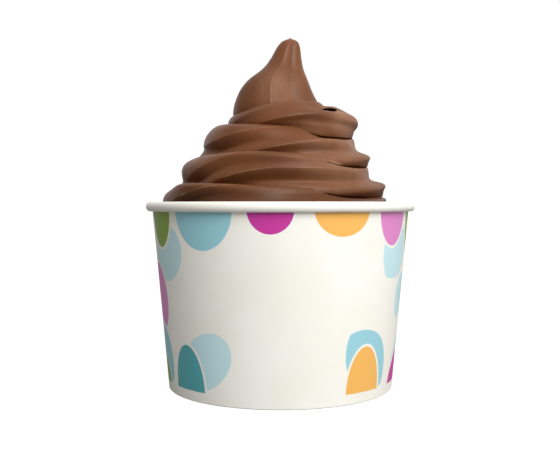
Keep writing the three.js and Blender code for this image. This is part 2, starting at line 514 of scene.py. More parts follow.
@dataclass(frozen=True)
class ChocolateFinish:
    """Soft-frozen chocolate: satin, with faint streaks along the rope, a painted highlight on the crests,
    patches of painted sheen and painted shade on the lowest coil.

    Args:
        milk: The lighter brown.
        cocoa: The darker brown.
        crest: The colour of the painted highlight along the thin ridges.
        painted_sheen: The colour of the painted sheen patches.
        painted_shade: The colour of the painted shade laid on the lowest coil, near the tub's rim.
        patches: Where the painted sheen lies.
        painted_shade_heights: The heights, in millimetres, between which the painted shade sets in, darker
            downwards.
        painted_shade_amount: How much of the painted shade shows.
        mottle_scale: How fine the patches of the two browns are.
        mottle_amount: How much of the darker brown they show.
        streaks_along: How far the streaks' noise runs along the rope, in a metre.
        streaks_round: The radius of the ring that it runs round the section.
        streak_scale: How fine that noise is.
        streak_fade: Its values between which the streaks set in.
        streak_amount: How much of the darker brown they show.
        streak_height: Their share of the relief.
        grain_scale: How fine the grain is.
        grain_height: Its share of the relief.
        relief: How strong the relief of both is.
        depth: How deep it is, in millimetres.
        crest_highlight_start: Where the ridges' painted highlight sets in, on the way from a groove, at 0, to
            a ridge, at 0.5.
        crest_highlight_breaks: How fine the breaks in that colour are.
        crest_highlight_places: The places across, in millimetres, between which it grows weaker.
        crest_highlight_amounts: How much of it shows at those two.
        roughness: Its mean roughness.
        gloss: The strength of its reflections, where 0.5 is a usual one.
        translucency: How much of the light passes under its skin.
        skin: How far that light's red, green and blue go, as shares of its depth.
        skin_depth: How deep it goes, in millimetres.
    """

    milk: Colour = linear(115, 69, 40)
    cocoa: Colour = linear(95, 54, 29)
    # painted highlight: a paler colour along the ridges' crests
    crest: Colour = linear(165, 122, 92)
    # painted sheen: a paler, greyer colour for faces that catch the light
    painted_sheen: Colour = linear(164, 123, 98)
    # painted shade: a darker colour for the lowest coil
    painted_shade: Colour = linear(78, 45, 25)
    # the patches of painted sheen, on lit faces at the front and the +X side
    patches: tuple[PaintedSheenPatch, ...] = (
        PaintedSheenPatch((0.5, -13.0, 106.0), 12.0, 0.25),
        PaintedSheenPatch((23.0, -12.0, 94.5), 14.0, 0.42),
        PaintedSheenPatch((17.0, -25.0, 81.0), 18.0, 0.26),
    )
    painted_shade_heights: tuple[float, float] = (72.5, 67.5)
    painted_shade_amount: float = 0.65
    mottle_scale: float = 55.0
    mottle_amount: float = 0.55
    streaks_along: float = 45.0
    streaks_round: float = 9.0
    streak_scale: float = 1.6
    streak_fade: tuple[float, float] = (0.45, 0.72)
    streak_amount: float = 0.15
    streak_height: float = 0.8
    grain_scale: float = 1400.0
    grain_height: float = 0.35
    relief: float = 0.25
    depth: float = 0.15
    crest_highlight_start: float = 0.47
    crest_highlight_breaks: float = 160.0
    crest_highlight_places: tuple[float, float] = (-30.0, 10.0)
    crest_highlight_amounts: tuple[float, float] = (0.9, 0.35)
    roughness: float = 0.5
    gloss: float = 0.25
    translucency: float = 0.12
    skin: Point = (1.0, 0.45, 0.25)
    skin_depth: float = 1.2

    def material(self, mottle: bpy.types.NodeTree) -> bpy.types.Material:
        """Builds the material.

        Args:
            mottle: The group that varies colour and roughness.

        Returns:
            The material.
        """
        material, graph, shader = new_material("chocolate_yogurt")
        flow = graph.put("SeparateXYZ", {0: graph.put("UVMap", uv_map="flow").outputs["UV"]}).outputs
        place = graph.put("TexCoord").outputs["Object"]
        streaks = self.streaking(graph, flow["X"], flow["Y"])
        tone = graph.use(
            mottle,
            Vector=place,
            Scale=self.mottle_scale,
            Colour=self.milk,
            Other_Colour=self.cocoa,
            Amount=self.mottle_amount,
            Roughness=self.roughness,
        )
        dark = graph.ramp(streaks, *self.streak_fade, 0.0, self.streak_amount)
        streaked = graph.mix(dark, tone.outputs["Colour"], self.cocoa)
        high = graph.put("SeparateXYZ", {0: place}).outputs["Z"]
        # paints shade on the lowest coil, darker towards the rim
        painted_shade_mask = graph.ramp(high, self.painted_shade_heights[0] * MM, self.painted_shade_heights[1] * MM, 0.0, self.painted_shade_amount)
        with_painted_shade = graph.mix(painted_shade_mask, streaked, self.painted_shade)
        # paints a sheen on the lit faces
        with_painted_sheen = graph.mix(self.painted_sheen_mask(graph, place), with_painted_shade, self.painted_sheen)
        # paints a highlight along the ridges' crests
        colour = graph.mix(self.painted_crest_highlights(graph, place, flow["Y"]), with_painted_sheen, self.crest)
        grain = graph.math("MULTIPLY", graph.noise(place, self.grain_scale, 3.0), self.grain_height)
        height = graph.math("MULTIPLY_ADD", streaks, self.streak_height, grain)
        bump = graph.put("Bump", {"Height": height, "Strength": self.relief, "Distance": self.depth * MM})
        graph.tree.links.new(colour, shader.inputs["Base Color"])
        graph.tree.links.new(tone.outputs["Roughness"], shader.inputs["Roughness"])
        graph.tree.links.new(bump.outputs["Normal"], shader.inputs["Normal"])
        shader.inputs["Specular IOR Level"].default_value = self.gloss
        shader.inputs["Subsurface Weight"].default_value = self.translucency
        shader.inputs["Subsurface Radius"].default_value = self.skin
        shader.inputs["Subsurface Scale"].default_value = self.skin_depth * MM
        return material

    def streaking(
        self, graph: Graph, along: bpy.types.NodeSocket, round_section: bpy.types.NodeSocket
    ) -> bpy.types.NodeSocket:
        """Adds a noise that is drawn out along the rope and closes round its section.

        Args:
            graph: The graph to build it in.
            along: How far along the rope, in metres.
            round_section: How far round the section, in turns.

        Returns:
            The noise.
        """
        turn = graph.math("MULTIPLY", round_section, TURN)
        rope = {
            "X": graph.math("MULTIPLY", along, self.streaks_along),
            "Y": graph.math("MULTIPLY", graph.math("COSINE", turn), self.streaks_round),
            "Z": graph.math("MULTIPLY", graph.math("SINE", turn), self.streaks_round),
        }
        return graph.noise(graph.put("CombineXYZ", rope).outputs[0], self.streak_scale, 3.0)

    def painted_crest_highlights(
        self, graph: Graph, place: bpy.types.NodeSocket, round_section: bpy.types.NodeSocket
    ) -> bpy.types.NodeSocket:
        """Adds the mask of the painted highlight along the thin ridges, which is stronger towards the -X
        side.

        Args:
            graph: The graph to build it in.
            place: Where the surface is.
            round_section: How far round the section, in turns, with a ridge halfway through each sixth.

        Returns:
            The mask.
        """
        to_crest = graph.math("PINGPONG", graph.math("MULTIPLY", round_section, float(RIDGES)), 0.5)
        broken = graph.ramp(graph.noise(place, self.crest_highlight_breaks), 0.4, 0.6, 0.15, 0.8)
        across = graph.put("SeparateXYZ", {0: place}).outputs["X"]
        start, end = (value * MM for value in self.crest_highlight_places)
        # the painted highlight is stronger towards -X
        side_highlight = graph.ramp(across, start, end, *self.crest_highlight_amounts)
        thin = graph.ramp(to_crest, self.crest_highlight_start, 0.5)
        return graph.math("MULTIPLY", thin, graph.math("MULTIPLY", broken, side_highlight))

    def painted_sheen_mask(self, graph: Graph, place: bpy.types.NodeSocket) -> bpy.types.NodeSocket:
        """Adds the mask of the painted sheen, broken up by a noise.

        Args:
            graph: The graph to build it in.
            place: Where the surface is.

        Returns:
            The mask.
        """
        core = 0.3  # the share of a patch's reach where the painted sheen is at its full amount
        painted_sheen = 0.0
        for patch in self.patches:
            middle = tuple(value * MM for value in patch.middle)
            off = graph.put("VectorMath", {0: place, 1: middle}, operation="DISTANCE").outputs["Value"]
            sheen_here = graph.ramp(off, patch.reach * MM, core * patch.reach * MM, 0.0, patch.amount)
            painted_sheen = graph.math("MAXIMUM", painted_sheen, sheen_here)
        uneven = graph.ramp(graph.noise(place, 240.0, 4.0), 0.3, 0.7, 0.75, 1.15)
        return graph.math("MULTIPLY", painted_sheen, uneven)


class Inks(Enum):
    """The inks of the tub's print."""

    LEAF = linear(128, 160, 42)
    SKY = linear(152, 206, 220)
    MIST = linear(196, 228, 236)
    TEAL = linear(78, 166, 176)
    MAGENTA = linear(196, 52, 156)
    PINK = linear(222, 134, 200)
    APRICOT = linear(242, 182, 92)


@dataclass(frozen=True)
class Spot:
    """One printed shape: an oval or a leaf, leaning, that may be cut straight.

    Args:
        angle: Where its middle is round the tub, in degrees from the front towards +X.
        height: How high its middle is, in millimetres.
        half_width: Half its width, in millimetres.
        half_height: Half its height, in millimetres.
        lean: How far it leans, in degrees.
        point: 2 for an oval, 1 for a leaf with two points.
        cut: Only what lies above this, from its middle, is printed.
        ink: Its ink.
    """

    angle: float
    height: float
    half_width: float
    half_height: float
    lean: float
    point: float
    cut: float
    ink: Inks


@dataclass(frozen=True)
class SpotRow:
    """A row of printed shapes round the tub, whose sizes and inks repeat in turn.

    Args:
        height: The height of their middles, in millimetres.
        count: How many places the row has.
        start: The angle of the first, in degrees from the front towards +X.
        widths: Their half widths in turn, in millimetres.
        aspect: Their half heights as shares of their half widths, in turn.
        leans: Their leans in turn, in degrees.
        inks: Their inks in turn.
        clear: How far to each side of the front the row stays away, in degrees.
        points: How pointed they are in turn: 2 for an oval, 1 for a leaf.
        cut: Only what lies above this, from their middles, is printed.
    """

    height: float
    count: int
    start: float
    widths: tuple[float, ...]
    aspect: tuple[float, ...]
    leans: tuple[float, ...]
    inks: tuple[Inks, ...]
    clear: float = 0.0
    points: tuple[float, ...] = (2.0,)
    cut: float = -99.0

    def spots(self) -> Iterable[Spot]:
        """Goes round the row.

        Yields:
            Its shapes, one after another.
        """
        series = (self.widths, self.aspect, self.leans, self.points, self.inks)
        in_turn = zip(range(self.count), *(cycle(values) for values in series))
        for i, width, aspect, lean, point, ink in in_turn:
            angle = (self.start + i * 360.0 / self.count + 180.0) % 360.0 - 180.0
            if abs(angle) >= self.clear:
                yield Spot(angle, self.height, width, width * aspect, lean, point, self.cut, ink)


PRINT_ROWS = (
    SpotRow(
        height=49.0, count=9, start=-59.0, clear=22.0,
        widths=(9, 6, 7.5), aspect=(1.1, 1.7, 1.4), leans=(-38, 30, 52), points=(2.0, 1.2),
        inks=(Inks.MIST, Inks.LEAF, Inks.SKY),
    ),
    SpotRow(
        height=63.5, count=12, start=-64.0,
        widths=(8, 11, 7, 9.5), aspect=(1.6, 1.2, 1.1, 0.9, 1.5), leans=(0,),
        inks=(Inks.LEAF, Inks.SKY, Inks.MAGENTA, Inks.APRICOT, Inks.PINK),
    ),
    SpotRow(
        height=34.0, count=10, start=-72.0, clear=52.0,
        widths=(7, 5, 8), aspect=(1.6, 1.5), leans=(10, -16, 24), points=(2.0, 1.2),
        inks=(Inks.PINK, Inks.TEAL, Inks.MAGENTA, Inks.LEAF, Inks.MIST),
    ),
    SpotRow(
        height=14.0, count=9, start=-36.0, clear=28.0,
        widths=(8.5, 6, 9.5), aspect=(1.35, 1.7), leans=(-52, 26, 44), points=(2.0, 2.0, 1.3),
        inks=(Inks.MIST, Inks.LEAF, Inks.SKY),
    ),
    SpotRow(
        height=3.6, count=12, start=-48.0, clear=20.0, cut=-9.0,
        widths=(8, 5.5, 7), aspect=(1.9, 2.2, 1.3), leans=(0, -22, 18), points=(2.0, 1.3, 2.0),
        inks=(Inks.TEAL, Inks.LEAF, Inks.PINK, Inks.APRICOT, Inks.MAGENTA),
    ),
)
PRINT_RADIUS = 43.0  # of the wall halfway up the print, in millimetres


def spot_group() -> bpy.types.NodeTree:
    """Builds the group that masks one printed shape and the white edge round it.

    Returns:
        A group that takes where the surface is and the shape's sizes, in degrees and millimetres, and gives
        Mask and Halo.
    """
    titles = ("Angle", "Height", "Middle Angle", "Middle Height", "Half Width", "Half Height")
    kinds = {title: Kind.VALUE for title in (*titles, "Lean", "Point", "Cut", "Gap")}
    graph, given, result = new_group("spot", kinds, {"Mask": Kind.VALUE, "Halo": Kind.VALUE})
    get = given.outputs
    off = graph.math("WRAP", graph.math("SUBTRACT", get["Angle"], get["Middle Angle"]), 180.0, -180.0)
    across = graph.math("MULTIPLY", off, PRINT_RADIUS * TURN / 360.0)
    up = graph.math("SUBTRACT", get["Height"], get["Middle Height"])
    lean = graph.math("RADIANS", get["Lean"])
    cos, sin = graph.math("COSINE", lean), graph.math("SINE", lean)
    own_x = graph.math("ADD", graph.math("MULTIPLY", across, cos), graph.math("MULTIPLY", up, sin))
    own_y = graph.math("SUBTRACT", graph.math("MULTIPLY", up, cos), graph.math("MULTIPLY", across, sin))
    edge = (0.985, 1.015)  # the shape ends where its sum reaches 1, a little softly
    for title, gap in (("Mask", 0.0), ("Halo", get["Gap"])):
        wide = graph.math("DIVIDE", graph.math("ABSOLUTE", own_x), graph.math("ADD", get["Half Width"], gap))
        tall = graph.math("DIVIDE", own_y, graph.math("ADD", get["Half Height"], gap))
        whole = graph.math("ADD", graph.math("POWER", wide, get["Point"]), graph.math("MULTIPLY", tall, tall))
        above = graph.math("GREATER_THAN", own_y, graph.math("SUBTRACT", get["Cut"], gap))
        mask = graph.math("MULTIPLY", graph.ramp(whole, *edge, 1.0, 0.0), above)
        graph.tree.links.new(mask, result.inputs[title])
    return graph.tree


@dataclass(frozen=True)
class PaperFinish:
    """Coated white board, printed or plain.

    Args:
        name: The material's name.
        white: The board's colour.
        shade: The colour that it wanders to.
        roughness: Its mean roughness.
        mottle_scale: How fine the wandering of its colour is.
        mottle_amount: How much of the other colour shows.
        fibre_scale: How fine its fibres are.
        fibre_relief: How strong their relief is.
        rows: The rows of printed shapes.
        print_foot: Nothing is printed below this height, in millimetres.
        print_top: Nothing is printed above this height, in millimetres.
        gap: The width of the bare edge that each shape keeps from those under it, in millimetres.
        wall_foot: The radius of the wall's middle at the foot, in millimetres; print lies outside it.
        wall_slope: How much that radius grows with each millimetre of height.
    """

    name: str
    white: Colour = linear(246, 244, 238)
    shade: Colour = linear(238, 234, 224)
    roughness: float = 0.4
    mottle_scale: float = 40.0
    mottle_amount: float = 0.5
    fibre_scale: float = 900.0
    fibre_relief: float = 0.12
    rows: tuple[SpotRow, ...] = ()
    print_foot: float = 3.6
    print_top: float = 62.6
    gap: float = 0.9
    wall_foot: float = 0.0
    wall_slope: float = 0.0

    def material(self, mottle: bpy.types.NodeTree, spot: bpy.types.NodeTree) -> bpy.types.Material:
        """Builds the material.

        Args:
            mottle: The group that varies colour and roughness.
            spot: The group that masks one printed shape.

        Returns:
            The material.
        """
        material, graph, shader = new_material(self.name)
        place = graph.put("TexCoord").outputs["Object"]
        board = graph.use(
            mottle,
            Vector=place,
            Scale=self.mottle_scale,
            Colour=self.white,
            Other_Colour=self.shade,
            Amount=self.mottle_amount,
            Roughness=self.roughness,
        ).outputs
        colour = self.printing(graph, spot, place, board["Colour"]) if self.rows else board["Colour"]
        fibre = graph.noise(place, self.fibre_scale, 4.0)
        bump = graph.put("Bump", {"Height": fibre, "Strength": self.fibre_relief, "Distance": 0.1 * MM})
        graph.tree.links.new(colour, shader.inputs["Base Color"])
        graph.tree.links.new(board["Roughness"], shader.inputs["Roughness"])
        graph.tree.links.new(bump.outputs["Normal"], shader.inputs["Normal"])
        return material

    def printing(
        self, graph: Graph, spot: bpy.types.NodeTree, place: bpy.types.NodeSocket, bare: bpy.types.NodeSocket
    ) -> bpy.types.NodeSocket:
        """Lays the printed shapes over the board, each with a bare edge.

        Args:
            graph: The graph to build it in.
            spot: The group that masks one printed shape.
            place: Where the surface is.
            bare: The board's colour.

        Returns:
            The colour with the print.
        """
        axes = graph.put("SeparateXYZ", {0: place}).outputs
        height = graph.math("MULTIPLY", axes["Z"], 1.0 / MM)
        forwards = graph.math("MULTIPLY", axes["Y"], -1.0)
        angle = graph.math("DEGREES", graph.math("ARCTAN2", axes["X"], forwards))
        flat = graph.put("CombineXYZ", {"X": axes["X"], "Y": axes["Y"]}).outputs[0]
        radius = graph.put("VectorMath", {0: flat}, operation="LENGTH").outputs["Value"]
        wall = graph.math("MULTIPLY_ADD", height, self.wall_slope * MM, self.wall_foot * MM)
        above = graph.math("GREATER_THAN", height, self.print_foot)
        between_ends = graph.math("MULTIPLY", above, graph.math("LESS_THAN", height, self.print_top))
        printed = graph.math("MULTIPLY", between_ends, graph.math("GREATER_THAN", radius, wall))
        colour = bare
        for one in (item for row in self.rows for item in row.spots()):
            shape = graph.use(
                spot,
                Angle=angle,
                Height=height,
                Middle_Angle=one.angle,
                Middle_Height=one.height,
                Half_Width=one.half_width,
                Half_Height=one.half_height,
                Lean=one.lean,
                Point=one.point,
                Cut=one.cut,
                Gap=self.gap,
            ).outputs
            colour = graph.mix(shape["Halo"], colour, bare)
            colour = graph.mix(graph.math("MULTIPLY", shape["Mask"], printed), colour, one.ink.value)
        return colour


# ---------------------------------------------------------------- the tub


@dataclass
class Tub:
    """The paper tub: a wall with a hemmed foot and a rolled rim, and a pressed base.

    Args:
        rim_radius: The radius out to the rolled rim. This and the other lengths are in millimetres.
        height: The height of the rim.
        foot_radius: The outer radius of the wall at its foot.
        slope: How much that grows with each millimetre of height.
        paper: How thick the board is.
        clearance: The room between two pieces that touch in the real tub.
        roll_height: How high the roll is.
        roll_end: Where its edge ends, in degrees from its outer side.
        hem_height: How far the board is folded up inside the foot.
        base_height: The height of the base's upper face.
        skirt_foot: The height where the base's skirt stands in the hem.
        fold: How far the corners of the hem are cut off.
        bends: How far those of the base are, inside and outside.
        sides: How many faces it has round the axis.
        roll_steps: How many faces the roll has.
        seam_angle: Where the lap seam starts, in degrees from +X.
        seam_width: How wide it is, in degrees.
        crease: From how many degrees between two faces their edge looks sharp.
    """

    rim_radius: float = 48.0
    height: float = 66.0
    foot_radius: float = 40.1
    slope: float = 5.6 / 62.7
    paper: float = 0.5
    clearance: float = 0.3
    roll_height: float = 3.3
    roll_end: float = -115.0
    hem_height: float = 5.0
    base_height: float = 6.4
    skirt_foot: float = 1.1
    fold: float = 0.25
    bends: tuple[float, float] = (0.3, 0.4)
    sides: int = 192
    roll_steps: int = 22
    seam_angle: float = 104.0
    seam_width: float = 7.5
    crease: float = 32.0

    def wall_radius(self, z: float) -> float:
        """The outer radius of the wall at a height."""
        return self.foot_radius + self.slope * z

    def room_radius(self, z: float) -> float:
        """The radius of what fits inside the wall at a height."""
        return self.wall_radius(z) - self.paper - self.clearance

    @property
    def fill_foot(self) -> float:
        """Where the yogurt starts, just above the base."""
        return self.base_height + self.clearance

    def wall(self) -> bpy.types.Object:
        """Builds the wall: one strip of board, hemmed inwards at the foot and rolled outwards at the rim.

        Returns:
            The piece.
        """
        up = self.roll_height / 2.0
        level = self.height - up
        across = (self.rim_radius - self.wall_radius(level) + self.paper) / 2.0
        middle = (self.rim_radius - across, level)
        outer = arc(middle, (across, up), self.roll_end, 180.0, self.roll_steps)
        inner = arc(middle, (across - self.paper, up - self.paper), 180.0, self.roll_end, self.roll_steps)
        paper, fold = self.paper, self.fold

        def hem(z: float) -> float:
            """The outer radius of the folded board inside the foot, at a height."""
            return self.wall_radius(z) - 2.0 * (paper + self.clearance)

        profile = [
            (hem(0.0) - paper + 2.0 * fold, 0.0),
            (self.wall_radius(0.0) - fold, 0.0),
            (self.wall_radius(fold), fold),
            *inner,
            *outer,
            (self.wall_radius(self.skirt_foot) - paper, self.skirt_foot),
            (self.wall_radius(paper) - paper - fold, paper),
            (hem(paper) + fold, paper),
            (hem(self.skirt_foot), self.skirt_foot),
            (hem(self.hem_height), self.hem_height),
            (hem(self.hem_height) - paper, self.hem_height),
            (hem(fold) - paper, fold),
        ]
        wall = turned("cup_wall_board", profile, self.sides)
        self.lap(wall)
        return wall

    def lap(self, wall: bpy.types.Object) -> None:
        """Laps one edge of the board over the other in an upright seam on the outside of the wall.

        Args:
            wall: The wall.
        """
        start, end = self.seam_angle, self.seam_angle + self.seam_width
        bm = bmesh.new()
        bm.from_mesh(wall.data)

        def bearing(place: Vector) -> float:
            """The direction of a place from the tub's axis, in degrees from +X."""
            return math.degrees(math.atan2(place.y, place.x))

        def on_seam(face: bmesh.types.BMFace) -> bool:
            """Finds the tall outer faces that the seam covers.

            Args:
                face: A face of the wall.

            Returns:
                Whether it is one of them.
            """
            middle = face.calc_center_median()
            outwards = face.normal.xy.dot(middle.xy) > 0.5 * middle.xy.length
            heights = [vert.co.z for vert in face.verts]
            tall = max(heights) - min(heights) > 0.5 * self.height * MM
            return start < bearing(middle) < end and outwards and tall

        faces = [face for face in bm.faces if on_seam(face)]
        made = bmesh.ops.extrude_face_region(bm, geom=faces)["geom"]
        for vert in (item for item in made if isinstance(item, bmesh.types.BMVert)):
            share = 1.0 - min(max((bearing(vert.co) - start) / (end - start), 0.0), 1.0)
            vert.co.xy += vert.co.xy.normalized() * (share * self.paper * MM)
        bmesh.ops.delete(bm, geom=faces, context="FACES_ONLY")
        bmesh.ops.remove_doubles(bm, verts=bm.verts, dist=0.02 * MM)
        bmesh.ops.recalc_face_normals(bm, faces=bm.faces)
        bm.to_mesh(wall.data)
        bm.free()

    def base(self) -> bpy.types.Object:
        """Builds the base: a pressed disc whose skirt is held between the wall and its hem.

        Returns:
            The piece.
        """
        under = self.base_height - self.paper
        foot = self.skirt_foot + self.clearance
        inside, outside = self.bends
        profile = [
            (0.0, under),
            (self.room_radius(under) - self.paper - inside, under),
            (self.room_radius(under - inside) - self.paper, under - inside),
            (self.room_radius(foot) - self.paper, foot),
            (self.room_radius(foot), foot),
            (self.room_radius(self.base_height - outside), self.base_height - outside),
            (self.room_radius(self.base_height) - outside, self.base_height),
            (0.0, self.base_height),
        ]
        return turned("cup_base_disc", profile, self.sides)

    def build(self, printed: bpy.types.Material, plain: bpy.types.Material) -> None:
        """Builds and dresses the tub's pieces.

        Args:
            printed: The printed board.
            plain: The plain board.
        """
        for piece, node, slot, material in (
            (self.wall(), "cup_wall", "printed_board", printed),
            (self.base(), "cup_base", "plain_board", plain),
        ):
            piece.data.materials.append(material)
            shade(piece, self.crease)
            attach(piece, "root")
            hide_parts(node)
            LOG.info("%s: %d faces", piece.name, len(piece.data.polygons))


# ---------------------------------------------------------------- the swirl


@dataclass(frozen=True)
class Curve:
    """A value that changes along the rope.

    Args:
        rows: A place on the rope, in half turns, and the value there, row by row.
        ease: How far its corners are rounded off, in half turns.
    """

    rows: tuple[Row, ...]
    ease: float

    def at(self, place: float) -> float:
        """The value at a place on the rope."""
        return eased(self.rows, place, self.ease)


@dataclass(frozen=True)
class Bulge:
    """A change to the section's outline that fades to both sides of one angle.

    Args:
        strength: How strong it is along the rope.
        angle: The angle of its middle, in degrees.
        spread: Its half width, in degrees.
    """

    strength: Curve
    angle: float
    spread: float

    def bell(self, angle: float) -> float:
        """How much of its strength shows at an angle in degrees."""
        return hump(angle - self.angle, self.spread)


@dataclass(frozen=True)
class Groove:
    """The groove from one ridge of a section to the next.

    Args:
        place: Where it is deepest, as a share of the way to the next ridge.
        lobed: 0 for an even scoop; 1 for the shape that the two powers give.
        crest: How far the ridges at its ends are rounded, as a share of half the way.
        rise: The power of its first side: over 1 bulges like a lobe, 1 is straight, under 1 starts steeply.
        fall: The power of its second side, seen from the next ridge.
        share: Its depth as a share of the section's.
    """

    place: float = 0.5
    lobed: float = 0.0
    crest: float = 0.05
    rise: float = 1.5
    fall: float = 1.0
    share: float = 1.0

    def depth(self, step: float) -> float:
        """How deep it is.

        Args:
            step: Where between its two ridges, from 0 to 1.

        Returns:
            The depth, from 0 on the rounded ridges to its share at its deepest.
        """
        first = step < 0.5
        away = 2 * step if first else 2 * (1 - step)
        away = (math.hypot(away, self.crest) - self.crest) / (math.hypot(1.0, self.crest) - self.crest)
        scoop = math.sin(math.pi / 2 * away)
        return self.share * (scoop + self.lobed * (away ** (self.rise if first else self.fall) - scoop))


@dataclass(frozen=True)
class StarSection:
    """The section that a star nozzle gives the rope: ridges with grooves between them.

    Args:
        ridges: How many ridges it has.
        steps: Where the points of one ridge's stretch lie, from 0 at the ridge to 1 at the next one.
    """

    ridges: int = RIDGES
    steps: tuple[float, ...] = (
        0, 0.02, 0.05, 0.1, 0.17, 0.26, 0.35, 0.43, 0.48,
        0.5, 0.53, 0.58, 0.66, 0.75, 0.84, 0.91, 0.955, 0.98,
    )

    def shares(self) -> list[float]:
        """How far round the section each point lies, in turns. Each ridge is halfway between two sixths."""
        return [(ridge + step + 0.5) / self.ridges for ridge in range(self.ridges) for step in self.steps]

    def ridge_angles(self, turn: float) -> list[float]:
        """The angles of its even ridges, in radians, once it has turned by so many degrees."""
        return [math.radians(turn + 360.0 * ridge / self.ridges) for ridge in range(self.ridges)]

    def outline(
        self, angles: Sequence[float], grooves: Sequence[Groove], depth_at: Callable[[float], float]
    ) -> list[tuple[float, float]]:
        """The whole section once it has turned.

        Args:
            angles: The ridges' angles, in radians.
            grooves: The groove that follows each ridge.
            depth_at: Gives the grooves' depth at an angle, as a share of the radius.

        Returns:
            The angle and the share of the full radius, point by point.
        """
        points = []
        for start, end, groove in zip(angles, [*angles[1:], angles[0] + TURN], grooves):
            for step in self.steps:
                low, high = groove.place, 1 - groove.place
                place = 2 * step * low if step < 0.5 else low + (2 * step - 1) * high
                angle = start + (end - start) * place
                points.append((angle, 1.0 - depth_at(angle) * groove.depth(step)))
        return points


